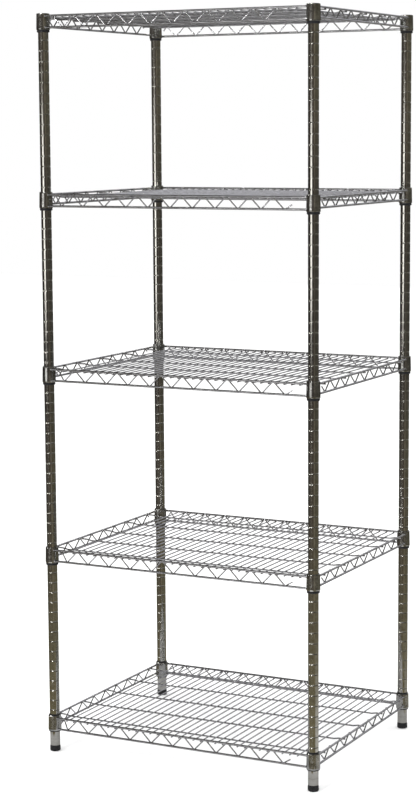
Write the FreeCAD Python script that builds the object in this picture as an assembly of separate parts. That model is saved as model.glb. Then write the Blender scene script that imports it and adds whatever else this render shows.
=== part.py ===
import FreeCAD, Part
import math
import os

# Free-standing rack of five welded wire shelves on four grooved tube posts.
# Frame: millimetres, +Z up, +X along the long front side, +Y towards the back,
# origin on the floor under the middle of the rack.

# ---- driving dimensions -------------------------------------------------

groove_pitch = 25.4
post_spacing_x = 721.0
post_spacing_y = 569.0

foot_height = 14.5
foot_gap = 0.3
post_length = 1828.8
post_radius = 12.7
post_wall = 1.4
groove_depth = 0.8
groove_width = 3.0
groove_offset = 0.25 * groove_pitch
first_groove = 2

# Groove number, counted from the floor, that each shelf's collars sit level with.
shelf_grooves = {1: 71, 2: 54, 3: 37, 4: 19, 5: 2}
# How far a shelf has settled below that level on its tapered sleeves.
shelf_settle = {1: 0.0, 2: 0.0, 3: 0.0, 4: 0.0, 5: 3.2}

collar_height = 39.4
collar_top_radius = 16.0
collar_bottom_radius = 16.8
collar_chamfer = 3.0
collar_edge_wall = 0.7

sleeve_height = 45.6
sleeve_below_collar = 6.0
sleeve_bore_radius = 12.8
sleeve_top_radius = 13.7
sleeve_bottom_radius = 15.6
sleeve_round = 1.2
sleeve_split_gap = 0.5
sleeve_wedges = 10
sleeve_ridge_above_collar_base = groove_pitch
ridge_radius = 12.1
ridge_width = 1.2
cone_clearance = 0.3

rim_radius = 2.7
rim_outset = 9.0
top_rim_height = 33.0
bottom_rim_height = 5.0
side_top_rim_height = 32.6
side_bottom_rim_height = 8.8

deck_wire_radius = 1.6
support_radius = 1.9
truss_radius = 1.6
weld_sink = 0.2
deck_wire_pitch = 20.1
deck_end_inset = 28.0
support_spacing = 119.8
support_count = 5
support_bend_inset = 14.0
support_end_inset = 5.0
support_bend_radius = 8.0

truss_pitch_front = 60.3
truss_pitch_side = 59.9
truss_bend_radius = 3.4
front_first_bottom = 47.0
front_bottoms = 11
# How far each shelf's front and back zigzag is shifted along its rims.
truss_shift = {1: 12.0, 2: 0.0, 3: 0.0, 4: 0.0, 5: -6.0}
side_first_bottom = 54.5
side_bottoms = 8

cap_rim_height = 3.6
cap_dome = 2.8
cap_plug_length = 16.0
cap_plug_wall = 1.8

insert_length = 24.0
stem_radius = 4.76
stem_clearance = 0.08
stem_reach = 34.0
stem_in_glide = 8.0
glide_radius = 13.3
glide_edge = 2.2

# ---- worked out from them -----------------------------------------------

half_x = post_spacing_x / 2
half_y = post_spacing_y / 2
post_base = foot_height + foot_gap
post_top = post_base + post_length
bore_radius = post_radius - post_wall

deck_height = top_rim_height - rim_radius - deck_wire_radius + weld_sink
support_height = deck_height - deck_wire_radius - support_radius + weld_sink
support_end_height = side_top_rim_height - rim_radius - support_radius + weld_sink
truss_outset = rim_outset - rim_radius - truss_radius + weld_sink

corners = {
    "front_left": (-half_x, -half_y),
    "front_right": (half_x, -half_y),
    "back_left": (-half_x, half_y),
    "back_right": (half_x, half_y),
}

up = FreeCAD.Vector(0, 0, 1)


def at(x, y, z):
    return FreeCAD.Vector(x, y, z)


def groove_level(number):
    return number * groove_pitch + groove_offset


def shelf_base(number):
    """Height of the lower edge of a shelf's collars."""
    return groove_level(shelf_grooves[number]) - shelf_settle[number]


def turned(points, degrees=360.0):
    """Solid made by turning a closed outline of (radius, height) points about Z."""
    loop = [at(r, 0, z) for r, z in points]
    face = Part.Face(Part.makePolygon(loop + loop[:1]))
    return face.revolve(at(0, 0, 0), up, degrees)


def moved(shape, x, y, z):
    copy = shape.copy()
    copy.translate(at(x, y, z))
    return copy


def arc_points(centre, radius, start, end, steps):
    """Points (radius, height) along an arc, angles in degrees from the radial direction."""
    points = []
    for i in range(steps + 1):
        angle = math.radians(start + (end - start) * i / steps)
        points.append((centre[0] + radius * math.cos(angle), centre[1] + radius * math.sin(angle)))
    return points


def rod(start, end, radius):
    """Round bar from one point to another."""
    run = end - start
    return Part.makeCylinder(radius, run.Length, start, run)


# ---- posts, caps and inserts ---------------------------------------------


def make_post():
    """Tube with a rolled groove every inch above its plain lower end, at its real height."""
    half = groove_width / 2
    outline = [(bore_radius, post_base), (post_radius, post_base)]
    number = first_groove
    while groove_level(number) + half < post_top:
        level = groove_level(number)
        outline += [
            (post_radius, level - half),
            (post_radius - groove_depth, level - half / 3),
            (post_radius - groove_depth, level + half / 3),
            (post_radius, level + half),
        ]
        number += 1
    outline += [(post_radius, post_top), (bore_radius, post_top)]
    return turned(outline)


def make_cap():
    """Domed plug that closes the top of a post."""
    shoulder = post_top + cap_rim_height
    crown = shoulder + cap_dome
    inner = bore_radius - cap_plug_wall
    return turned(
        [
            (0, post_top),
            (inner, post_top),
            (inner, post_top - cap_plug_length),
            (bore_radius, post_top - cap_plug_length),
            (bore_radius, post_top),
            (post_radius, post_top),
            (post_radius, shoulder),
            (post_radius * 0.86, shoulder + cap_dome * 0.55),
            (post_radius * 0.6, shoulder + cap_dome * 0.85),
            (0, crown),
        ]
    )


def make_insert():
    """Bush pressed into the lower end of a post, with the bore for a foot's stem."""
    hole = stem_radius + stem_clearance
    return turned(
        [
            (hole, post_base),
            (bore_radius, post_base),
            (bore_radius, post_base + insert_length),
            (hole, post_base + insert_length),
        ]
    )


# ---- levelling feet -------------------------------------------------------


def make_stem():
    return Part.makeCylinder(
        stem_radius, stem_in_glide + foot_gap + stem_reach, at(0, 0, foot_height - stem_in_glide)
    )


def make_glide():
    """Round foot with a softened lower edge, moulded onto its stem."""
    outline = [(0, 0), (glide_radius - glide_edge, 0)]
    outline += arc_points((glide_radius - glide_edge, glide_edge), glide_edge, -67.5, 0, 3)
    outline += [
        (glide_radius, foot_height),
        (stem_radius, foot_height),
        (stem_radius, foot_height - stem_in_glide),
        (0, foot_height - stem_in_glide),
    ]
    return turned(outline)


# ---- split sleeves --------------------------------------------------------


def sleeve_radius(height):
    """Outer radius of a sleeve at a height above its own lower edge."""
    taper = (sleeve_bottom_radius - sleeve_top_radius) / sleeve_height
    return sleeve_bottom_radius - taper * height


def make_sleeve_halves():
    """Two tapered half shells with a ridge inside that sits in a post's groove.

    Each is turned in equal wedges, so its faces are short arcs.
    """
    ridge = sleeve_below_collar + sleeve_ridge_above_collar_base
    half = ridge_width / 2
    outline = [
        (sleeve_bore_radius, 0),
        (sleeve_bottom_radius - sleeve_round, 0),
        (sleeve_radius(sleeve_round), sleeve_round),
        (sleeve_top_radius, sleeve_height),
        (sleeve_bore_radius, sleeve_height),
        (sleeve_bore_radius, ridge + half + 0.7),
        (ridge_radius, ridge + half),
        (ridge_radius, ridge - half),
        (sleeve_bore_radius, ridge - half - 0.7),
    ]
    step = 180.0 / sleeve_wedges
    wedge = turned(outline, step)
    wedges = []
    for i in range(sleeve_wedges):
        copy = wedge.copy()
        copy.rotate(at(0, 0, 0), up, i * step)
        wedges.append(copy)
    reach = 2 * sleeve_bottom_radius
    slot = Part.makeBox(reach, sleeve_split_gap, sleeve_height + 2,
                        at(-reach / 2, -sleeve_split_gap / 2, -1))
    half_shell = wedges[0].fuse(wedges[1:]).cut(slot).Solids[0]
    halves = []
    for start in (45, 225):
        copy = half_shell.copy()
        copy.rotate(at(0, 0, 0), up, start)
        halves.append(copy)
    return halves


def shelf_sleeves(number):
    """The eight half sleeves that carry one shelf."""
    base = groove_level(shelf_grooves[number]) - sleeve_below_collar
    halves = make_sleeve_halves()
    return [moved(half, x, y, base) for x, y in corners.values() for half in halves]


# ---- shelf ----------------------------------------------------------------
# A shelf is built with the lower edge of its collars at height 0.


def collar_outline():
    """Outer line of a collar, from its lower edge up, as (radius, height) points."""
    foot = sleeve_radius(sleeve_below_collar) + cone_clearance + collar_edge_wall
    return [
        (foot, 0),
        ((foot + collar_bottom_radius) / 2 + 0.1, collar_chamfer * 0.4),
        (collar_bottom_radius, collar_chamfer),
        (collar_top_radius, collar_height - 1.2),
        (collar_top_radius - 0.8, collar_height),
    ]


def make_collar():
    """Tapered ring that wedges down over a pair of half sleeves."""
    top = sleeve_radius(sleeve_below_collar + collar_height) + cone_clearance
    bottom = sleeve_radius(sleeve_below_collar) + cone_clearance
    return turned([(bottom, 0)] + collar_outline() + [(top, collar_height)])


def make_collar_plug():
    """Filled outer shape of a collar, which a rim wire's end is shaped to."""
    return turned([(0, 0)] + collar_outline() + [(0, collar_height)])


def shelf_collars():
    collar = make_collar()
    return [moved(collar, x, y, 0) for x, y in corners.values()]


def rim_wires(front_height, side_height):
    """Four rim wires, coped to the collars at their ends."""
    plug = make_collar_plug()
    wires = []
    for side in (-1, 1):
        y = side * (half_y + rim_outset)
        wires.append(rod(at(-half_x, y, front_height), at(half_x, y, front_height), rim_radius))
        x = side * (half_x + rim_outset)
        wires.append(rod(at(x, -half_y, side_height), at(x, half_y, side_height), rim_radius))
    plugs = [moved(plug, x, y, 0) for x, y in corners.values()]
    coped = []
    for wire in wires:
        for solid in plugs:
            wire = wire.cut(solid)
        coped.append(max(wire.Solids, key=lambda s: s.Volume))
    return coped


def bent_wire(points, radius, bend):
    """Round wire along straight runs in one vertical plane, with a small arc at each corner."""
    edges = []
    start = points[0]
    for before, corner, after in zip(points, points[1:], points[2:]):
        back = (before - corner).normalize()
        ahead = (after - corner).normalize()
        half_angle = back.getAngle(ahead) / 2
        trim = bend / math.tan(half_angle)
        centre = corner + (back + ahead).normalize() * (bend / math.sin(half_angle))
        entry = corner + back * trim
        leave = corner + ahead * trim
        middle = centre + (corner - centre).normalize() * bend
        edges.append(Part.LineSegment(start, entry).toShape())
        edges.append(Part.Arc(entry, middle, leave).toShape())
        start = leave
    edges.append(Part.LineSegment(start, points[-1]).toShape())
    path = Part.Wire(edges)
    profile = Part.Wire(Part.makeCircle(radius, points[0], points[1] - points[0]))
    return path.makePipeShell([profile], True, False)


def truss_line(first_bottom, bottoms, pitch, span, low, high, near_end, far_end):
    """Corners of a truss wire as (distance from the first post axis, height).

    Each corner overshoots, so that the bend inside it reaches the middle of the rim.
    """
    half_angle = math.atan2(pitch / 2, high - low)
    overshoot = truss_bend_radius * (1 / math.sin(half_angle) - 1)
    line = list(near_end)
    for i in range(bottoms):
        bottom = first_bottom + i * pitch
        line.append((bottom, low - overshoot))
        if i < bottoms - 1:
            line.append((bottom + pitch / 2, high + overshoot))
    line += [(span - distance, height) for distance, height in far_end]
    return line


def front_truss(side, shift):
    """Zigzag wire between the front (side -1) or back (side 1) rims."""
    low, high = bottom_rim_height, top_rim_height
    near_end = [(22.0, low + 14.0), (31.0, high - 1.5)]
    far_end = [(52.0 - shift, low + 10.5)]
    line = truss_line(front_first_bottom + shift, front_bottoms, truss_pitch_front,
                      post_spacing_x, low, high, near_end, far_end)
    y = side * (half_y + truss_outset)
    return bent_wire([at(s - half_x, y, z) for s, z in line], truss_radius, truss_bend_radius)


def side_truss(side):
    """Zigzag wire between the left (side -1) or right (side 1) rims."""
    low, high = side_bottom_rim_height, side_top_rim_height
    near_end = [(36.5, low + 14.0)]
    far_end = [(65.0, high), (57.0, high - 8.0)]
    line = truss_line(side_first_bottom, side_bottoms, truss_pitch_side, post_spacing_y,
                      low, high, near_end, far_end)
    x = side * (half_x + truss_outset)
    return bent_wire([at(x, s - half_y, z) for s, z in line], truss_radius, truss_bend_radius)


def shelf_deck(shift):
    """Deck wires from front to back, under the front and back top rims, clear of the zigzag."""
    reach = half_y + rim_outset + rim_radius - 0.2
    limit = half_x - deck_end_inset
    wires = []
    x = front_first_bottom + shift - half_x - deck_wire_pitch
    while x < limit:
        if x > -limit:
            wires.append(rod(at(x, -reach, deck_height), at(x, reach, deck_height), deck_wire_radius))
        x += deck_wire_pitch
    return wires


def shelf_supports():
    """Cross wires under the deck wires, stepped up at their ends to weld under the side rims."""
    reach = half_x + rim_outset + rim_radius - 0.2
    outer = half_x - support_end_inset
    inner = outer - support_bend_inset
    middle = (support_count - 1) / 2
    wires = []
    for i in range(support_count):
        y = (i - middle) * support_spacing
        line = [
            at(-reach, y, support_end_height),
            at(-outer, y, support_end_height),
            at(-inner, y, support_height),
            at(inner, y, support_height),
            at(outer, y, support_end_height),
            at(reach, y, support_end_height),
        ]
        wires.append(bent_wire(line, support_radius, support_bend_radius))
    return wires


# ---- write the sub-parts --------------------------------------------------


def write(name, solids):
    shape = solids[0] if len(solids) == 1 else Part.makeCompound(solids)
    bad = [s for s in solids if not s.isValid() or s.Volume <= 0]
    if bad:
        raise ValueError(name + " has a solid that isn't valid")
    shape.exportStep(os.path.join("parts", name + ".step"))


def main():
    os.makedirs("parts", exist_ok=True)

    post, cap, insert = make_post(), make_cap(), make_insert()
    stem, glide = make_stem(), make_glide()
    for corner, (x, y) in corners.items():
        write(corner + "_post", [moved(post, x, y, 0)])
        write(corner + "_post_cap", [moved(cap, x, y, 0)])
        write(corner + "_threaded_insert", [moved(insert, x, y, 0)])
        write(corner + "_foot_stem", [moved(stem, x, y, 0)])
        write(corner + "_foot_glide", [moved(glide, x, y, 0)])

    shelf = {
        "corner_collars": shelf_collars(),
        "top_rim": rim_wires(top_rim_height, side_top_rim_height),
        "bottom_rim": rim_wires(bottom_rim_height, side_bottom_rim_height),
        "cross_supports": shelf_supports(),
    }
    side_trusses = [side_truss(-1), side_truss(1)]
    for number in shelf_grooves:
        base = shelf_base(number)
        shift = truss_shift[number]
        shelf["truss_wires"] = [front_truss(-1, shift), front_truss(1, shift)] + side_trusses
        shelf["deck_wires"] = shelf_deck(shift)
        for part, solids in shelf.items():
            placed = [moved(solid, 0, 0, base) for solid in solids]
            write("shelf_%d_%s" % (number, part), placed)
        write("shelf_%d_split_sleeves" % number, shelf_sleeves(number))


main()
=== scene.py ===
import math

import bmesh
import bpy
import numpy as np
from mathutils import Matrix, Vector


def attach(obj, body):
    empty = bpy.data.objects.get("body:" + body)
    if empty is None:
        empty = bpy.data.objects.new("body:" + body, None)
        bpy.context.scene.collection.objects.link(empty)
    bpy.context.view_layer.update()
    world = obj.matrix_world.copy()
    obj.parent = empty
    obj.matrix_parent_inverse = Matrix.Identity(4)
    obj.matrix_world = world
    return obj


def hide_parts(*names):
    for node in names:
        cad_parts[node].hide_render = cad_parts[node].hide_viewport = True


# Visual model of a free-standing rack of five welded wire shelves on four grooved posts.
# Lengths are in millimetres in the tables below and go to metres when a mesh is made.

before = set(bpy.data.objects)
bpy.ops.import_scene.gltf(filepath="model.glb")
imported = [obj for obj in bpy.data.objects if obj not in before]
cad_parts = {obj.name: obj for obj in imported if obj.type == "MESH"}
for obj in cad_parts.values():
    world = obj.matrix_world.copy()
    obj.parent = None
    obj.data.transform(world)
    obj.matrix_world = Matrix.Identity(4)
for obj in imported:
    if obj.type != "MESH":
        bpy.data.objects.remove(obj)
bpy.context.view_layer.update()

# ---- dimensions: the CAD model's, apart from slightly shallower and narrower grooves ----

GROOVE_PITCH = 25.4
GROOVE_OFFSET = 0.25 * GROOVE_PITCH
GROOVE_DEPTH = 0.65
GROOVE_HALF = 1.25
POST_RADIUS = 12.7
BORE_RADIUS = 11.3
POST_BASE = 14.8
POST_TOP = POST_BASE + 1828.8
FIRST_GROOVE = 2
HALF_X = 360.5
HALF_Y = 284.5

SHELF_GROOVES = {1: 71, 2: 54, 3: 37, 4: 19, 5: 2}
SHELF_SETTLE = {1: 0.0, 2: 0.0, 3: 0.0, 4: 0.0, 5: 3.2}
TRUSS_SHIFT = {1: 12.0, 2: 0.0, 3: 0.0, 4: 0.0, 5: -6.0}

COLLAR_HEIGHT = 39.4
SLEEVE_HEIGHT = 45.6
SLEEVE_BELOW = 6.0
SLEEVE_BORE = 12.8
SLEEVE_TOP = 13.7
SLEEVE_BOTTOM = 15.6
CONE_GAP = 0.3

RIM_RADIUS = 2.7
RIM_OUTSET = 9.0
TOP_RIM = 33.0
BOTTOM_RIM = 5.0
SIDE_TOP_RIM = 32.6
SIDE_BOTTOM_RIM = 8.8
DECK_RADIUS = 1.6
DECK_PITCH = 20.1
DECK_END_INSET = 28.0
SUPPORT_RADIUS = 1.9
SUPPORT_SPACING = 119.8
END_INSET = 0.2
TRUSS_RADIUS = 1.6
TRUSS_BEND = 3.4
SINK = 0.2
FRONT_PITCH = 60.3
SIDE_PITCH = 59.9
FRONT_FIRST = 47.0
SIDE_FIRST = 54.5

DECK_Z = TOP_RIM - RIM_RADIUS - DECK_RADIUS + SINK
SUPPORT_Z = DECK_Z - DECK_RADIUS - SUPPORT_RADIUS + SINK
SUPPORT_END_Z = SIDE_TOP_RIM - RIM_RADIUS - SUPPORT_RADIUS + SINK
TRUSS_OUTSET = RIM_OUTSET - RIM_RADIUS - TRUSS_RADIUS + SINK

CORNERS = {
    "front_left": (-HALF_X, -HALF_Y),
    "front_right": (HALF_X, -HALF_Y),
    "back_left": (-HALF_X, HALF_Y),
    "back_right": (HALF_X, HALF_Y),
}


def groove_level(number):
    return number * GROOVE_PITCH + GROOVE_OFFSET


def shelf_base(number):
    return groove_level(SHELF_GROOVES[number]) - SHELF_SETTLE[number]


def sleeve_radius(height):
    return SLEEVE_BOTTOM - (SLEEVE_BOTTOM - SLEEVE_TOP) * height / SLEEVE_HEIGHT


# ---- mesh helpers -----------------------------------------------------------


class Shell:
    """Vertices and faces of one piece, in millimetres."""

    def __init__(self):
        self.parts = []
        self.faces = []
        self.count = 0

    def add(self, verts, faces):
        start = self.count
        self.parts.append(np.asarray(verts, float))
        self.faces += [tuple(i + start for i in f) for f in faces]
        self.count += len(verts)

    def add_moved(self, shell, x, y, z):
        self.add(shell.verts() + np.array([x, y, z]), shell.faces)

    def verts(self):
        return np.concatenate(self.parts)


SHARP_ANGLE = 35.0


def piece(name, shell, material, body, node):
    """Makes the mesh object, smooth apart from its sharp edges, and hands it to the frame."""
    mesh = bpy.data.meshes.new(name)
    mesh.from_pydata((shell.verts() / 1000.0).tolist(), [], shell.faces)
    work = bmesh.new()
    work.from_mesh(mesh)
    bmesh.ops.recalc_face_normals(work, faces=work.faces)
    work.to_mesh(mesh)
    work.free()
    mesh.polygons.foreach_set("use_smooth", [True] * len(mesh.polygons))
    mesh.set_sharp_from_angle(angle=math.radians(SHARP_ANGLE))
    mesh.materials.append(material)
    mesh.update()
    obj = bpy.data.objects.new(name, mesh)
    bpy.context.scene.collection.objects.link(obj)
    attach(obj, body)
    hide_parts(node)
    return obj


# Sides longer than HOLD_FROM get extra points HOLD_AT from their ends.
HOLD_FROM = 1.5
HOLD_AT = 0.25
STRAIGHT_HALF_ANGLE = math.radians(84)


def rounded(points, radius, steps=2, closed=True):
    """A flat outline with each corner turned into a small arc."""
    pts = [np.array(p, float) for p in points]
    out = []
    count = len(pts)
    for i, corner in enumerate(pts):
        if not closed and i in (0, count - 1):
            out.append(corner)
            continue
        before = pts[i - 1] - corner
        after = pts[(i + 1) % count] - corner
        lb, la = np.linalg.norm(before), np.linalg.norm(after)
        before, after = before / lb, after / la
        half = math.acos(float(np.clip(before @ after, -1, 1))) / 2
        if half > STRAIGHT_HALF_ANGLE:
            out.append(corner)
            continue
        trim = min(radius / math.tan(half), 0.45 * lb, 0.45 * la)
        p0, p1 = corner + before * trim, corner + after * trim
        for s in range(steps + 1):
            t = s / steps
            out.append((1 - t) ** 2 * p0 + 2 * t * (1 - t) * corner + t**2 * p1)
    return [tuple(p) for p in out]


def held(profile, closed):
    """Adds points near both ends of each long side, so that flat sides shade as flat."""
    pts = [np.array(p, float) for p in profile]
    ends = pts[1:] + [pts[0]] if closed else pts[1:]
    out = []
    for a, b in zip(pts, ends):
        out.append(a)
        length = np.linalg.norm(b - a)
        if length > HOLD_FROM:
            step = (b - a) * HOLD_AT / length
            out += [a + step, b - step]
    if not closed:
        out.append(pts[-1])
    return np.array(out)


def lathe(profile, sides, closed=True, start=0.0, sweep=360.0):
    """Turns a (radius, height) outline about Z. A part turn gets flat end faces."""
    full = sweep >= 360.0
    rings = sides if full else sides + 1
    prof = held(profile, closed)
    verts = []
    for k in range(rings):
        a = math.radians(start + sweep * k / sides)
        ring = np.stack([prof[:, 0] * math.cos(a), prof[:, 0] * math.sin(a), prof[:, 1]], 1)
        verts.append(ring)
    n = len(prof)
    faces = []
    spans = n if closed else n - 1
    for k in range(sides):
        a0 = (k % rings) * n
        a1 = ((k + 1) % rings) * n
        for i in range(spans):
            j = (i + 1) % n
            faces.append((a0 + i, a1 + i, a1 + j, a0 + j))
    if not full:
        faces.append(tuple(range(n - 1, -1, -1)))
        faces.append(tuple((rings - 1) * n + i for i in range(n)))
    shell = Shell()
    shell.add(np.concatenate(verts), faces)
    return shell


def tidy_poles(shell):
    """Joins the vertices on the axis, where a turned outline meets it."""
    verts = shell.verts()
    low = {}
    remap = []
    for i, (x, y, z) in enumerate(verts):
        if math.hypot(x, y) < 1e-6:
            remap.append(low.setdefault(round(z, 5), i))
        else:
            remap.append(i)
    faces = []
    for f in shell.faces:
        g = []
        for i in f:
            if remap[i] not in g:
                g.append(remap[i])
        if len(g) > 2:
            faces.append(tuple(g))
    used = sorted({i for f in faces for i in f})
    place = {old: new for new, old in enumerate(used)}
    out = Shell()
    out.add(verts[used], [tuple(place[i] for i in f) for f in faces])
    return out


def sweep_rings(path, radii, sides):
    """Vertices of rings of given radii along a path, square to it."""
    pts = np.array(path, float)
    n = len(pts)
    tangents = np.zeros_like(pts)
    tangents[0] = pts[1] - pts[0]
    tangents[-1] = pts[-1] - pts[-2]
    for i in range(1, n - 1):
        a = pts[i] - pts[i - 1]
        b = pts[i + 1] - pts[i]
        tangents[i] = a / np.linalg.norm(a) + b / np.linalg.norm(b)
    tangents /= np.linalg.norm(tangents, axis=1)[:, None]
    upright = abs(tangents[0][2]) >= 0.9
    side = np.cross(tangents[0], (1.0, 0, 0) if upright else (0, 0, 1.0))
    rings = []
    angles = np.arange(sides) * 2 * math.pi / sides
    for i in range(n):
        side = side - tangents[i] * (side @ tangents[i])
        side /= np.linalg.norm(side)
        other = np.cross(tangents[i], side)
        around = np.outer(np.cos(angles), side) + np.outer(np.sin(angles), other)
        rings.append(pts[i] + radii[i] * around)
    return rings


def tube(shell, path, radii, sides):
    """Closed tube through the path's points."""
    rings = sweep_rings(path, radii, sides)
    add_rings(shell, rings, sides, path[0], path[-1])


def add_rings(shell, rings, sides, first, last):
    """Skin over a row of rings, closed by a fan round a point at each end."""
    verts = np.concatenate([np.array([first], float)] + rings + [np.array([last], float)])
    faces = []
    for k in range(sides):
        j = (k + 1) % sides
        faces.append((0, 1 + j, 1 + k))
        for i in range(len(rings) - 1):
            a, b = 1 + i * sides, 1 + (i + 1) * sides
            faces.append((a + k, a + j, b + j, b + k))
        a = 1 + (len(rings) - 1) * sides
        faces.append((a + k, a + j, len(verts) - 1))
    shell.add(verts, faces)


# Rounding of a sheared wire's end: distance from the end and radius, in wire radii.
CUT_END = [(0.0, 0.74), (0.12, 0.93), (0.4, 1.0), (0.7, 1.0)]


def cut_wire(shell, path, radius, sides=12):
    """Wire with sheared, slightly rounded ends."""
    pts = [np.array(p, float) for p in path]
    d0 = (pts[1] - pts[0]) / np.linalg.norm(pts[1] - pts[0])
    d1 = (pts[-2] - pts[-1]) / np.linalg.norm(pts[-2] - pts[-1])
    full = [pts[0] + d0 * radius * run for run, _ in CUT_END] + pts[1:-1]
    full += [pts[-1] + d1 * radius * run for run, _ in reversed(CUT_END)]
    radii = [radius * grow for _, grow in CUT_END] + [radius] * (len(pts) - 2)
    radii += [radius * grow for _, grow in reversed(CUT_END)]
    tube(shell, full, radii, sides)


def bent_path(points, bend, steps=6):
    """Straight runs with an arc at each corner."""
    pts = [np.array(p, float) for p in points]
    out = [pts[0]]
    for before, corner, after in zip(pts, pts[1:], pts[2:]):
        back = (before - corner) / np.linalg.norm(before - corner)
        ahead = (after - corner) / np.linalg.norm(after - corner)
        half = math.acos(float(np.clip(back @ ahead, -1, 1))) / 2
        axis = (back + ahead) / np.linalg.norm(back + ahead)
        centre = corner + axis * (bend / math.sin(half))
        start = corner + back * (bend / math.tan(half)) - centre
        end = corner + ahead * (bend / math.tan(half)) - centre
        total = math.acos(float(np.clip(start @ end / bend**2, -1, 1)))
        out.append(centre + start + back * HOLD_AT)
        for s in range(steps + 1):
            t = s / steps
            p = math.sin((1 - t) * total) * start + math.sin(t * total) * end
            out.append(centre + p / math.sin(total))
        out.append(centre + end + ahead * HOLD_AT)
    out.append(pts[-1])
    return out


NUGGET_SIDES = 8
NUGGET_RINGS = 5

# Weld beads: radius and half height.
HEAVY_BEAD = (2.5, 1.1)
RIM_BEAD = (2.1, 1.0)
SUPPORT_BEAD = (2.0, 0.95)


def nugget(shell, centre, size, axis=(0, 0, 1)):
    """Flattened bead of metal squeezed out where two wires are welded."""
    a = np.array(axis, float)
    a /= np.linalg.norm(a)
    u = np.cross(a, (1.0, 0, 0) if abs(a[0]) < 0.9 else (0, 1.0, 0))
    u /= np.linalg.norm(u)
    v = np.cross(a, u)
    c = np.array(centre, float)
    rings = []
    angles = np.arange(NUGGET_SIDES) * 2 * math.pi / NUGGET_SIDES
    for i in range(1, NUGGET_RINGS):
        t = math.pi * i / NUGGET_RINGS
        around = np.outer(np.cos(angles), u) + np.outer(np.sin(angles), v)
        rings.append(c + a * size[1] * math.cos(t) + size[0] * math.sin(t) * around)
    add_rings(shell, rings, NUGGET_SIDES, c + a * size[1], c - a * size[1])


# ---- materials ----------------------------------------------------------------


class Graph:
    """Short forms for building the nodes of a tree."""

    def __init__(self, tree):
        self.tree = tree
        self.new = tree.nodes.new
        self.link = tree.links.new

    def fill(self, socket, value):
        """Sets a socket to a number or a colour, or links it to another socket."""
        if isinstance(value, tuple):
            socket.default_value = (*value, 1)
        elif isinstance(value, (int, float)):
            socket.default_value = value
        else:
            self.link(value, socket)

    def ramp(self, source, stops):
        node = self.new("ShaderNodeValToRGB")
        bar = node.color_ramp
        bar.elements[0].position, bar.elements[0].color = stops[0][0], (*stops[0][1], 1)
        bar.elements[1].position, bar.elements[1].color = stops[-1][0], (*stops[-1][1], 1)
        for place, colour in stops[1:-1]:
            bar.elements.new(place).color = (*colour, 1)
        self.link(source, node.inputs["Fac"])
        return node.outputs["Color"]

    def maths(self, operation, a, b=None, clamp=False):
        node = self.new("ShaderNodeMath")
        node.operation = operation
        node.use_clamp = clamp
        self.fill(node.inputs[0], a)
        if b is not None:
            self.fill(node.inputs[1], b)
        return node.outputs["Value"]

    def mix(self, factor, a, b):
        node = self.new("ShaderNodeMix")
        node.data_type = "RGBA"
        self.link(factor, node.inputs["Factor"])
        self.fill(node.inputs["A"], a)
        self.fill(node.inputs["B"], b)
        return node.outputs["Result"]


class Nodes(Graph):
    """The nodes of a new material."""

    def __init__(self, name):
        self.material = bpy.data.materials.new(name)
        self.material.use_nodes = True
        super().__init__(self.material.node_tree)
        self.shader = self.tree.nodes["Principled BSDF"]
        self.coords = self.new("ShaderNodeTexCoord")

    def noise(self, scale, detail=3.0, rough=0.55, stretch=(1, 1, 1)):
        mapping = self.new("ShaderNodeMapping")
        mapping.inputs["Scale"].default_value = stretch
        self.link(self.coords.outputs["Object"], mapping.inputs["Vector"])
        node = self.new("ShaderNodeTexNoise")
        node.inputs["Scale"].default_value = scale
        node.inputs["Detail"].default_value = detail
        node.inputs["Roughness"].default_value = rough
        self.link(mapping.outputs["Vector"], node.inputs["Vector"])
        return node.outputs["Fac"]

    def spread(self, source, low, high, start=0.3, end=0.7):
        node = self.new("ShaderNodeMapRange")
        node.inputs["From Min"].default_value = start
        node.inputs["From Max"].default_value = end
        node.inputs["To Min"].default_value = low
        node.inputs["To Max"].default_value = high
        self.link(source, node.inputs["Value"])
        return node.outputs["Result"]

    def bump(self, source, strength, distance):
        node = self.new("ShaderNodeBump")
        node.inputs["Strength"].default_value = strength
        node.inputs["Distance"].default_value = distance
        self.link(source, node.inputs["Height"])
        self.link(node.outputs["Normal"], self.shader.inputs["Normal"])


def chrome(name, light, dark, gloss, grain_scale, grain_stretch, dent):
    """Plated steel: cloudy reflectance, uneven polish and a fine grain."""
    m = Nodes(name)
    cloud = m.noise(55.0, 4.0, 0.6)
    speck = m.noise(900.0, 2.0, 0.6)
    both = m.maths("ADD", m.maths("MULTIPLY", cloud, 0.7), m.maths("MULTIPLY", speck, 0.3))
    m.link(m.ramp(both, [(0.36, dark), (0.6, light)]), m.shader.inputs["Base Color"])
    polish = m.noise(140.0, 3.0, 0.6)
    m.link(m.spread(polish, gloss[0], gloss[1]), m.shader.inputs["Roughness"])
    m.bump(m.noise(grain_scale, 2.0, 0.5, grain_stretch), 0.35, dent)
    m.shader.inputs["Metallic"].default_value = 1.0
    return m


def post_chrome():
    """Chrome tube with painted shade in its grooves, where its colour is mixed towards dark."""
    m = chrome("post_chrome", (0.66, 0.65, 0.6), (0.5, 0.49, 0.44), (0.06, 0.13), 700.0,
               (1, 1, 0.03), 0.00004)
    split = m.new("ShaderNodeSeparateXYZ")
    m.link(m.coords.outputs["Object"], split.inputs["Vector"])
    pitch = GROOVE_PITCH / 1000
    start = GROOVE_OFFSET / 1000 - pitch / 2
    turns = m.maths("DIVIDE", m.maths("SUBTRACT", split.outputs["Z"], start), pitch)
    across = m.maths("ABSOLUTE", m.maths("SUBTRACT", m.maths("FRACT", turns), 0.5))
    # Painted shade: up to 0.3 of a dark colour is mixed in at the middle of each groove.
    groove_shade = m.spread(across, 0.3, 0.0, 0.02, 0.05)
    old = m.shader.inputs["Base Color"].links[0].from_socket
    m.link(m.mix(groove_shade, old, (0.2, 0.19, 0.165)), m.shader.inputs["Base Color"])
    return m.material


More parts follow.
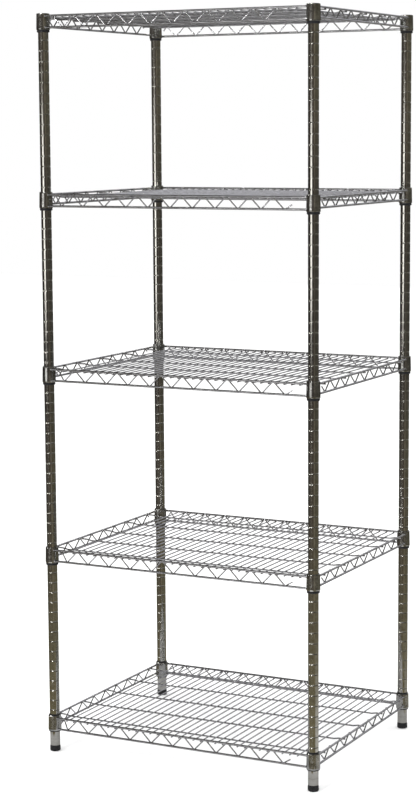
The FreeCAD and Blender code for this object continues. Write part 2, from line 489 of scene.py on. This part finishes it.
def plastic(name, light, dark, gloss, grain):
    m = Nodes(name)
    cloud = m.noise(160.0, 4.0, 0.65)
    m.link(m.ramp(cloud, [(0.35, dark), (0.7, light)]), m.shader.inputs["Base Color"])
    m.link(m.spread(m.noise(420.0, 2.0), gloss[0], gloss[1]), m.shader.inputs["Roughness"])
    m.bump(m.noise(2600.0, 2.0), 0.4, grain)
    m.shader.inputs["Specular IOR Level"].default_value = 0.2
    return m.material


def zinc():
    m = Nodes("zinc_plate")
    cloud = m.noise(240.0, 4.0, 0.6)
    m.link(m.ramp(cloud, [(0.35, (0.5, 0.5, 0.5)), (0.65, (0.7, 0.71, 0.72))]),
           m.shader.inputs["Base Color"])
    m.link(m.spread(m.noise(500.0), 0.28, 0.42), m.shader.inputs["Roughness"])
    m.bump(m.noise(1500.0), 0.3, 0.00003)
    m.shader.inputs["Metallic"].default_value = 1.0
    return m.material


POST = post_chrome()
COLLAR = chrome("collar_chrome", (0.64, 0.64, 0.61), (0.32, 0.32, 0.3), (0.1, 0.22), 260.0,
                (1, 1, 1), 0.0003).material
WIRE = chrome("wire_chrome", (0.58, 0.58, 0.59), (0.4, 0.4, 0.41), (0.12, 0.22), 600.0,
              (1, 1, 1), 0.00005).material
ZINC = zinc()
SLEEVE_BLACK = plastic("sleeve_plastic", (0.02, 0.02, 0.021), (0.008, 0.008, 0.009),
                       (0.35, 0.5), 0.00004)
CAP_BLACK = plastic("cap_plastic", (0.03, 0.03, 0.032), (0.014, 0.014, 0.015),
                    (0.4, 0.55), 0.00005)
FOOT_BLACK = plastic("foot_plastic", (0.022, 0.022, 0.023), (0.009, 0.009, 0.01),
                     (0.32, 0.5), 0.00005)


# ---- posts, caps, inserts and feet ------------------------------------------------


def post_shell():
    """Tube with rounded grooves rolled into it at every pitch."""
    edge = 0.35
    outer = [(POST_RADIUS - edge, POST_BASE), (POST_RADIUS, POST_BASE + edge)]
    number = FIRST_GROOVE
    steps = 10
    while groove_level(number) + GROOVE_HALF < POST_TOP:
        level = groove_level(number)
        for i in range(steps + 1):
            t = -1 + 2 * i / steps
            depth = GROOVE_DEPTH * (0.5 + 0.5 * math.cos(math.pi * t)) ** 0.8
            outer.append((POST_RADIUS - depth, level + t * GROOVE_HALF))
        number += 1
    outer += [(POST_RADIUS, POST_TOP - edge), (POST_RADIUS - edge, POST_TOP)]
    inner = [(BORE_RADIUS, POST_TOP), (BORE_RADIUS, POST_BASE)]
    return lathe(outer + inner, 48)


def cap_shell():
    """Low domed cap on a stepped plug."""
    rim = POST_TOP + 3.6
    rise = 2.8
    steps = 8
    outline = [
        (0, POST_TOP - 13),
        (BORE_RADIUS - 1.8, POST_TOP - 13),
        (BORE_RADIUS - 1.8, POST_TOP - 16),
        (BORE_RADIUS, POST_TOP - 16),
        (BORE_RADIUS, POST_TOP),
        (POST_RADIUS, POST_TOP),
        (POST_RADIUS, rim),
    ]
    curve = rounded(outline, 0.3, 2, closed=False)
    for i in range(1, steps):
        a = math.pi / 2 * i / steps
        curve.append((POST_RADIUS * math.cos(a), rim + rise * math.sin(a)))
    curve.append((0.0, rim + rise))
    return tidy_poles(lathe(curve, 48, closed=False))


def insert_shell():
    """Plug with a hole for the stem, pressed into the post."""
    hole = 4.84
    outline = [
        (hole + 0.5, POST_BASE),
        (BORE_RADIUS - 0.3, POST_BASE),
        (BORE_RADIUS, POST_BASE + 0.6),
        (BORE_RADIUS, POST_BASE + 24),
        (hole, POST_BASE + 24),
        (hole, POST_BASE + 0.5),
    ]
    return lathe(rounded(outline, 0.2, 2), 40)


STEM_PITCH = 1.5875
THREAD_FADE = 6


def stem_shell():
    """Threaded stem: a plain core with a rolled thread wound round it."""
    low, high = 6.5, 48.8
    major, minor = 4.76, 3.95
    sides = 28
    per_turn = [(0.0, minor), (0.22, minor), (0.44, major), (0.6, major), (0.82, minor)]
    verts, faces = [], []
    turns = int((high - 1.2 - (low + 9.0)) / STEM_PITCH)
    base = low + 9.0
    rows = turns * len(per_turn) + 1
    for row in range(rows):
        turn, place = divmod(row, len(per_turn))
        z0, r = per_turn[place]
        for k in range(sides):
            a = 2 * math.pi * k / sides
            z = base + (turn + z0 + k / sides - 0.5) * STEM_PITCH
            fade = min(1.0, (row + 1) / THREAD_FADE, (rows - row) / THREAD_FADE)
            rr = minor + (r - minor) * fade
            verts.append((rr * math.cos(a), rr * math.sin(a), z))
    for row in range(rows - 1):
        for k in range(sides):
            j = k + 1
            if j < sides:
                faces.append((row * sides + k, row * sides + j, (row + 1) * sides + j,
                              (row + 1) * sides + k))
            else:
                up = row + len(per_turn)
                if up + 1 < rows:
                    faces.append((row * sides + k, up * sides, (up + 1) * sides,
                                  (row + 1) * sides + k))
    shell = Shell()
    shell.add(verts, faces)
    under = minor - 0.02
    core = rounded([(0, low), (major, low), (major, base + 0.4), (under, base + 1.0),
                    (under, high - 0.8), (minor - 0.8, high), (0, high)], 0.15, 2, closed=False)
    part = tidy_poles(lathe(core, sides, closed=False))
    shell.add(part.verts(), part.faces)
    return shell


def glide_shell():
    """Round foot, hollowed a little underneath, with a step near its top."""
    radius = 13.3
    outline = [
        (0, 0.35),
        (8.5, 0.35),
        (9.1, 0.0),
        (radius - 2.2, 0.0),
        (radius - 0.65, 0.65),
        (radius, 2.2),
        (radius, 11.6),
        (radius - 0.5, 12.1),
        (radius - 0.5, 14.0),
        (radius - 1.0, 14.5),
        (6.4, 14.5),
        (5.9, 13.9),
        (4.78, 13.9),
        (4.78, 6.5),
        (0, 6.5),
    ]
    return tidy_poles(lathe(rounded(outline, 0.35, 2, closed=False), 56, closed=False))


def placed(shell, x, y, z=0.0):
    out = Shell()
    out.add_moved(shell, x, y, z)
    return out


post, cap, insert = post_shell(), cap_shell(), insert_shell()
stem, glide = stem_shell(), glide_shell()
for corner, (cx, cy) in CORNERS.items():
    for part, shell, material, slot, body in (
        ("post", post, POST, "chrome_post", "posts"),
        ("post_cap", cap, CAP_BLACK, "black_plastic", "posts"),
        ("threaded_insert", insert, ZINC, "zinc_steel", "posts"),
        ("foot_stem", stem, ZINC, "zinc_steel", corner + "_foot"),
        ("foot_glide", glide, FOOT_BLACK, "foot_plastic", corner + "_foot"),
    ):
        node = corner + "_" + part
        piece(node + "_look", placed(shell, cx, cy), material, body, node)


# ---- sleeves and collars ------------------------------------------------------------


def sleeve_half():
    """Half of a split sleeve: tapered outside, a ridge inside, rounded lower edge."""
    ridge = SLEEVE_BELOW + GROOVE_PITCH
    outline = [
        (SLEEVE_BORE, 0.0),
        (SLEEVE_BOTTOM - 1.2, 0.0),
        (SLEEVE_BOTTOM - 0.35, 0.35),
        (sleeve_radius(1.2), 1.2),
        (SLEEVE_TOP, SLEEVE_HEIGHT - 0.1),
        (SLEEVE_TOP - 0.25, SLEEVE_HEIGHT),
        (SLEEVE_BORE, SLEEVE_HEIGHT),
        (SLEEVE_BORE, ridge + 1.3),
        (12.1, ridge + 0.6),
        (12.1, ridge - 0.6),
        (SLEEVE_BORE, ridge - 1.3),
    ]
    gap = math.degrees(0.25 / SLEEVE_BOTTOM)
    return lathe(outline, 24, start=45 + gap, sweep=180 - 2 * gap)


def sleeves(number):
    half = sleeve_half()
    other = Shell()
    v = half.verts().copy()
    v[:, :2] *= -1
    other.add(v, half.faces)
    base = groove_level(SHELF_GROOVES[number]) - SLEEVE_BELOW
    shell = Shell()
    for x, y in CORNERS.values():
        shell.add_moved(half, x, y, base)
        shell.add_moved(other, x, y, base)
    return shell


COLLAR_LINE = [(0.0, 16.385), (1.2, 16.7), (3.0, 16.8), (38.2, 16.0), (COLLAR_HEIGHT, 15.2)]


def collar_outer(height):
    """Outer radius of a collar at a height above its lower edge."""
    for (z0, r0), (z1, r1) in zip(COLLAR_LINE, COLLAR_LINE[1:]):
        if height <= z1:
            return r0 + (r1 - r0) * (height - z0) / (z1 - z0)
    return COLLAR_LINE[-1][1]


def collar_shell():
    """Tapered ring with a rolled top edge and a chamfered foot."""
    top_in = sleeve_radius(SLEEVE_BELOW + COLLAR_HEIGHT) + CONE_GAP
    low_in = sleeve_radius(SLEEVE_BELOW) + CONE_GAP
    outline = [
        (low_in, 0.0),
        (16.2, 0.0),
        (16.62, 0.7),
        (16.8, 3.0),
        (16.02, 37.4),
        (15.75, 38.6),
        (15.1, COLLAR_HEIGHT),
        (top_in, COLLAR_HEIGHT),
    ]
    return lathe(rounded(outline, 0.5, 3), 64)


def collars(base):
    shell = Shell()
    ring = collar_shell()
    for x, y in CORNERS.values():
        shell.add_moved(ring, x, y, base)
    return shell


# ---- shelf wires -----------------------------------------------------------------------


# Rows of a rim wire's end: run from the collar, growth in radius, sunk into the collar.
RIM_END = [(0.0, 1.22, True), (0.6, 1.2, False), (1.3, 1.08, False), (2.2, 1.0, False),
           (2.6, 1.0, False)]


def rim_wire(shell, along, offset_side, height, base, sides=20):
    """Straight rim wire from collar to collar, its ends coped and flared into a weld."""
    half = HALF_X if along == "x" else HALF_Y
    across = (HALF_Y if along == "x" else HALF_X) + RIM_OUTSET
    angles = np.arange(sides) * 2 * math.pi / sides
    stations = []
    for end in (-1, 1):
        group = []
        for run, grow, cope in RIM_END:
            ring = []
            for a in angles:
                r = RIM_RADIUS * grow
                off = RIM_OUTSET + r * math.cos(a) * (0.82 if grow > 1.05 else 1.0)
                z = height + r * math.sin(a)
                depth = -0.9 if cope else run - 0.15
                reach = math.sqrt(max(collar_outer(z) ** 2 - off**2, 4.0)) + depth
                s = end * (half - reach)
                t = offset_side * (across - RIM_OUTSET + off)
                point = (s, t, base + z) if along == "x" else (t, s, base + z)
                ring.append(point)
            group.append(np.array(ring))
        if end > 0:
            group.reverse()
        stations += group
    first = stations[0].mean(0)
    last = stations[-1].mean(0)
    add_rings(shell, stations, sides, first, last)


def rims(base, front_height, side_height):
    shell = Shell()
    for side in (-1, 1):
        rim_wire(shell, "x", side, front_height, base)
        rim_wire(shell, "y", side, side_height, base)
    return shell


FRONT_BOTTOMS = 11
SIDE_BOTTOMS = 8
TAIL_DROP = 1.5


def truss_line(first, bottoms, pitch, span, low, high, near_end, far_end):
    """Corner points of a zigzag: its near tail, its bends and its far tail."""
    half = math.atan2(pitch / 2, high - low)
    overshoot = TRUSS_BEND * (1 / math.sin(half) - 1)
    line = list(near_end)
    for i in range(bottoms):
        line.append((first + i * pitch, low - overshoot))
        if i < bottoms - 1:
            line.append((first + (i + 0.5) * pitch, high + overshoot))
    return line + [(span - d, z) for d, z in far_end]


def trusses(base, shift):
    """Zigzag wires on all four sides, with a bead where each bend touches a rim.

    A tail's points are its distance from the near or far post's axis and its height.
    """
    shell = Shell()
    low, high = BOTTOM_RIM, TOP_RIM
    front = truss_line(FRONT_FIRST + shift, FRONT_BOTTOMS, FRONT_PITCH, 2 * HALF_X, low, high,
                       [(22.0, low + 14.0), (31.0, high - TAIL_DROP)],
                       [(52.0 - shift, low + 10.5)])
    low, high = SIDE_BOTTOM_RIM, SIDE_TOP_RIM
    side_line = truss_line(SIDE_FIRST, SIDE_BOTTOMS, SIDE_PITCH, 2 * HALF_Y, low, high,
                           [(36.5, low + 14.0)], [(65.0, high), (57.0, high - 8.0)])
    for side in (-1, 1):
        y = side * (HALF_Y + TRUSS_OUTSET)
        x = side * (HALF_X + TRUSS_OUTSET)
        cut_wire(shell, bent_path([(s - HALF_X, y, base + z) for s, z in front], TRUSS_BEND),
                 TRUSS_RADIUS)
        cut_wire(shell, bent_path([(x, s - HALF_Y, base + z) for s, z in side_line], TRUSS_BEND),
                 TRUSS_RADIUS)
        touch = TRUSS_RADIUS - SINK / 2
        for line, low, high, fixed in ((front, BOTTOM_RIM, TOP_RIM, "y"),
                                       (side_line, SIDE_BOTTOM_RIM, SIDE_TOP_RIM, "x")):
            for s, z in line:
                if low < z < high - TAIL_DROP:
                    continue
                level = base + (low if z <= low else high - (TAIL_DROP if z < high else 0.0))
                if fixed == "y":
                    nugget(shell, (s - HALF_X, y + side * touch, level), HEAVY_BEAD, (0, 1, 0))
                else:
                    nugget(shell, (x + side * touch, s - HALF_Y, level), HEAVY_BEAD, (1, 0, 0))
    return shell


def deck_places(shift):
    """X of each deck wire: three to a zigzag of the front truss."""
    limit = HALF_X - DECK_END_INSET
    x = FRONT_FIRST + shift - HALF_X - DECK_PITCH
    places = []
    while x < limit:
        if x > -limit:
            places.append(x)
        x += DECK_PITCH
    return places


SUPPORT_PLACES = [(i - 2) * SUPPORT_SPACING for i in range(5)]


def deck(base, shift):
    """Wires from front to back, beaded where they meet the rims and the cross supports."""
    shell = Shell()
    reach = HALF_Y + RIM_OUTSET + RIM_RADIUS - END_INSET
    z = base + DECK_Z
    for x in deck_places(shift):
        cut_wire(shell, [(x, reach * part, z) for part in (-1, -0.5, 0, 0.5, 1)], DECK_RADIUS)
        for y in SUPPORT_PLACES:
            nugget(shell, (x, y, z - DECK_RADIUS + SINK / 2), SUPPORT_BEAD)
        for side in (-1, 1):
            nugget(shell, (x, side * (HALF_Y + RIM_OUTSET), z + DECK_RADIUS - SINK / 2),
                   RIM_BEAD)
    return shell


def supports(base):
    """Heavier cross wires, stepped up at their ends to meet the side rims."""
    shell = Shell()
    reach = HALF_X + RIM_OUTSET + RIM_RADIUS - END_INSET
    outer = HALF_X - 5.0
    inner = outer - 14.0
    for y in SUPPORT_PLACES:
        line = [(-reach, y, base + SUPPORT_END_Z), (-outer, y, base + SUPPORT_END_Z),
                (-inner, y, base + SUPPORT_Z), (inner, y, base + SUPPORT_Z),
                (outer, y, base + SUPPORT_END_Z), (reach, y, base + SUPPORT_END_Z)]
        cut_wire(shell, bent_path(line, 8.0, 4), SUPPORT_RADIUS, 14)
        for side in (-1, 1):
            nugget(shell, (side * (HALF_X + RIM_OUTSET), y,
                           base + SUPPORT_END_Z + SUPPORT_RADIUS - SINK / 2), HEAVY_BEAD)
    return shell


for number in SHELF_GROOVES:
    level = shelf_base(number)
    body = "shelf_%d" % number
    parts = {
        "corner_collars": (collars(level), COLLAR, "chrome_collar"),
        "top_rim": (rims(level, TOP_RIM, SIDE_TOP_RIM), WIRE, "chrome_wire"),
        "bottom_rim": (rims(level, BOTTOM_RIM, SIDE_BOTTOM_RIM), WIRE, "chrome_wire"),
        "truss_wires": (trusses(level, TRUSS_SHIFT[number]), WIRE, "chrome_wire"),
        "deck_wires": (deck(level, TRUSS_SHIFT[number]), WIRE, "chrome_wire"),
        "cross_supports": (supports(level), WIRE, "chrome_wire"),
    }
    for part, (shell, material, slot) in parts.items():
        node = body + "_" + part
        piece(node + "_look", shell, material, body, node)
    node = body + "_split_sleeves"
    piece(node + "_look", sleeves(number), SLEEVE_BLACK, "posts", node)


# ---- stage ---------------------------------------------------------------------------------


def plane(name, half_x, half_y, z, material):
    mesh = bpy.data.meshes.new(name)
    mesh.from_pydata([(-half_x, -half_y, z), (half_x, -half_y, z), (half_x, half_y, z),
                      (-half_x, half_y, z)], [], [(0, 1, 2, 3)])
    mesh.materials.append(material)
    obj = bpy.data.objects.new(name, mesh)
    bpy.context.scene.collection.objects.link(obj)
    return obj


def floor_material(name, light, dark):
    m = Nodes(name)
    m.link(m.ramp(m.noise(3.0, 4.0), [(0.3, dark), (0.7, light)]), m.shader.inputs["Base Color"])
    m.shader.inputs["Roughness"].default_value = 0.9
    m.shader.inputs["Specular IOR Level"].default_value = 0.1
    return m.material


FLOOR_HALF = 14.0
FLOOR_Z = -0.0005
NEAR_FLOOR_HALF_X = 0.51
NEAR_FLOOR_HALF_Y = 0.435
NEAR_FLOOR_Z = -0.0003

floor = plane("floor", FLOOR_HALF, FLOOR_HALF, FLOOR_Z,
              floor_material("floor_white", (0.93, 0.93, 0.93), (0.91, 0.91, 0.91)))
floor.visible_glossy = False

# A grey sheet under the rack that only the chrome sees, for the floor's reflection: a darker
# copy of the floor, painted shade of the floor beneath the rack.
shade_sheet = plane("near_floor", NEAR_FLOOR_HALF_X, NEAR_FLOOR_HALF_Y, NEAR_FLOOR_Z,
              floor_material("near_floor_shade", (0.35, 0.35, 0.36), (0.32, 0.32, 0.33)))
shade_sheet.visible_camera = False
shade_sheet.visible_diffuse = False
shade_sheet.visible_shadow = False


# Colour of the room's walls by azimuth in degrees, at the height of the eye.
WALLS = [
    (-180, (0.06, 0.055, 0.05)),
    (-150, (0.06, 0.054, 0.048)),
    (-125, (0.1, 0.09, 0.08)),
    (-100, (0.11, 0.094, 0.08)),
    (-80, (0.075, 0.062, 0.05)),
    (-60, (0.1, 0.086, 0.067)),
    (-46, (0.24, 0.215, 0.17)),
    (-34, (0.12, 0.106, 0.08)),
    (0, (0.1, 0.09, 0.066)),
    (40, (0.12, 0.11, 0.082)),
    (75, (0.07, 0.065, 0.05)),
    (180, (0.06, 0.055, 0.05)),
]

# Bands all round the room, each laid over the ones before. Pairs are the elevations in
# degrees over which a band fades in or out. The first also has its share of the mix.
BELOW_EYE = ((-9.5, -6.5), (-1.5, 0.5), (0.03, 0.028, 0.032), 0.6)
CEILING = ((20, 50), (0.05, 0.05, 0.05))
FLOOR_EDGE = ((-17, -11), (0.2, 0.175, 0.11))
FLOOR_BELOW = ((-34, -23), (0.07, 0.065, 0.05))

# Patches on top of the bands: elevations over which it fades in (None for no lower edge)
# and out, the middle, half width and soft edge of its azimuths, and its colour.
PATCHES = [
    ((-25, -20), (-18.5, -15), (50, 62, 14), (0.8, 0.8, 0.81)),
    ((6, 14), (38, 48), (88, 26, 6), (0.68, 0.68, 0.71)),
    ((18, 24), (34, 42), (-72, 12, 6), (0.45, 0.44, 0.43)),
    ((50, 55), (66, 72), (0, 24, 10), (0.16, 0.16, 0.16)),
    ((-50, -40), (-23, -17), (88, 26, 6), (0.3, 0.3, 0.31)),
    (None, (-40, -30), (30, 40, 12), (0.24, 0.24, 0.23)),
    ((-46, -38), (-23, -19), (-97, 24, 8), (2.1, 2.1, 2.15)),
    ((-5.8, -4.6), (-0.2, 0.9), (-112, 12, 9), (1.95, 1.93, 1.92)),
]
DIFFUSE_WHITE = 1.35


def studio_world():
    """White to the camera and to dull surfaces; to the chrome, a dim room with lit patches."""
    world = bpy.data.worlds.new("studio")
    bpy.context.scene.world = world
    world.use_nodes = True
    world.node_tree.nodes.clear()
    g = Graph(world.node_tree)
    split = g.new("ShaderNodeSeparateXYZ")
    g.link(g.new("ShaderNodeTexCoord").outputs["Generated"], split.inputs["Vector"])
    x, y, z = split.outputs
    turn = g.maths("ADD", g.maths("DIVIDE", g.maths("ARCTAN2", y, x), 2 * math.pi), 0.5)

    def spot(degrees):
        return (degrees + 180) / 360

    def rise(edge):
        """0 below the first elevation, 1 above the second."""
        s0, s1 = (math.sin(math.radians(e)) for e in edge)
        return g.maths("MULTIPLY", g.maths("SUBTRACT", z, s0), 1.0 / (s1 - s0), clamp=True)

    def fall(edge):
        return g.maths("SUBTRACT", 1.0, rise(edge))

    def sector(middle, half_width, soft):
        """1 within half_width of an azimuth, falling to 0 over the soft angle."""
        away = g.maths("ABSOLUTE", g.maths("SUBTRACT", turn, spot(middle)))
        return g.maths("MULTIPLY", g.maths("SUBTRACT", (half_width + soft) / 360, away),
                       360 / soft, clamp=True)

    def both(a, b):
        return g.maths("MULTIPLY", a, b)

    room = g.ramp(turn, [(spot(azimuth), colour) for azimuth, colour in WALLS])
    fade_in, fade_out, colour, share = BELOW_EYE
    band = g.maths("MULTIPLY", both(rise(fade_in), fall(fade_out)), share)
    room = g.mix(band, room, colour)
    room = g.mix(rise(CEILING[0]), room, CEILING[1])
    for edge, colour in (FLOOR_EDGE, FLOOR_BELOW):
        room = g.mix(fall(edge), room, colour)
    for fade_in, fade_out, azimuths, colour in PATCHES:
        patch = both(fall(fade_out), sector(*azimuths))
        if fade_in:
            patch = both(rise(fade_in), patch)
        room = g.mix(patch, room, colour)

    def background(colour, strength):
        node = g.new("ShaderNodeBackground")
        node.inputs["Strength"].default_value = strength
        g.fill(node.inputs["Color"], colour)
        return node.outputs["Background"]

    path = g.new("ShaderNodeLightPath")
    inner = g.new("ShaderNodeMixShader")
    g.link(path.outputs["Is Glossy Ray"], inner.inputs["Fac"])
    g.link(background((1.0, 1.0, 1.0), DIFFUSE_WHITE), inner.inputs[1])
    g.link(background(room, 1.0), inner.inputs[2])
    outer = g.new("ShaderNodeMixShader")
    g.link(path.outputs["Is Camera Ray"], outer.inputs["Fac"])
    g.link(inner.outputs["Shader"], outer.inputs[1])
    g.link(background((1.0, 1.0, 1.0), 1.0), outer.inputs[2])
    output = g.new("ShaderNodeOutputWorld")
    g.link(outer.outputs["Shader"], output.inputs["Surface"])


studio_world()


RACK_MIDDLE = Vector((0, 0, 0.9))


def softbox(name, place, size, power):
    """Square area light that faces the middle of the rack."""
    data = bpy.data.lights.new(name, "AREA")
    data.shape = "SQUARE"
    data.size = size
    data.energy = power
    obj = bpy.data.objects.new(name, data)
    bpy.context.scene.collection.objects.link(obj)
    obj.location = place
    way = Vector(place) - RACK_MIDDLE
    obj.rotation_euler = way.to_track_quat("Z", "Y").to_euler()


# Middle in metres, width in metres and power in watts.
softbox("key", (-1.2, -5.7, 4.9), 1.6, 165.0)
softbox("left_light", (-5.6, -2.05, 4.8), 1.1, 100.0)


# ---- camera -----------------------------------------------------------------------------------

CAMERA_AT = Vector((2.272, -4.517, 1.568))
CAMERA_TURN = math.radians(27.332)
CAMERA_DOWN = math.radians(7.577)
CAMERA_ROLL = math.radians(0.38)
FOCAL_PIXELS = 2010.6
FRAME_HEIGHT = 793.0
SENSOR = 36.0


def make_camera():
    data = bpy.data.cameras.new("camera")
    data.sensor_width = SENSOR
    data.sensor_fit = "AUTO"
    data.lens = FOCAL_PIXELS * SENSOR / FRAME_HEIGHT
    data.clip_end = 60.0
    obj = bpy.data.objects.new("camera", data)
    bpy.context.scene.collection.objects.link(obj)
    ca, sa = math.cos(CAMERA_TURN), math.sin(CAMERA_TURN)
    ce, se = math.cos(CAMERA_DOWN), math.sin(CAMERA_DOWN)
    cr, sr = math.cos(CAMERA_ROLL), math.sin(CAMERA_ROLL)
    level = Vector((ca, sa, 0))
    rise = Vector((-sa * se, ca * se, ce))
    right = level * cr - rise * sr
    up = level * sr + rise * cr
    back = right.cross(up)
    basis = Matrix((right, up, back)).transposed().to_4x4()
    obj.matrix_world = Matrix.Translation(CAMERA_AT) @ basis
    bpy.context.scene.camera = obj


make_camera()
bpy.context.scene.view_settings.view_transform = "Standard"
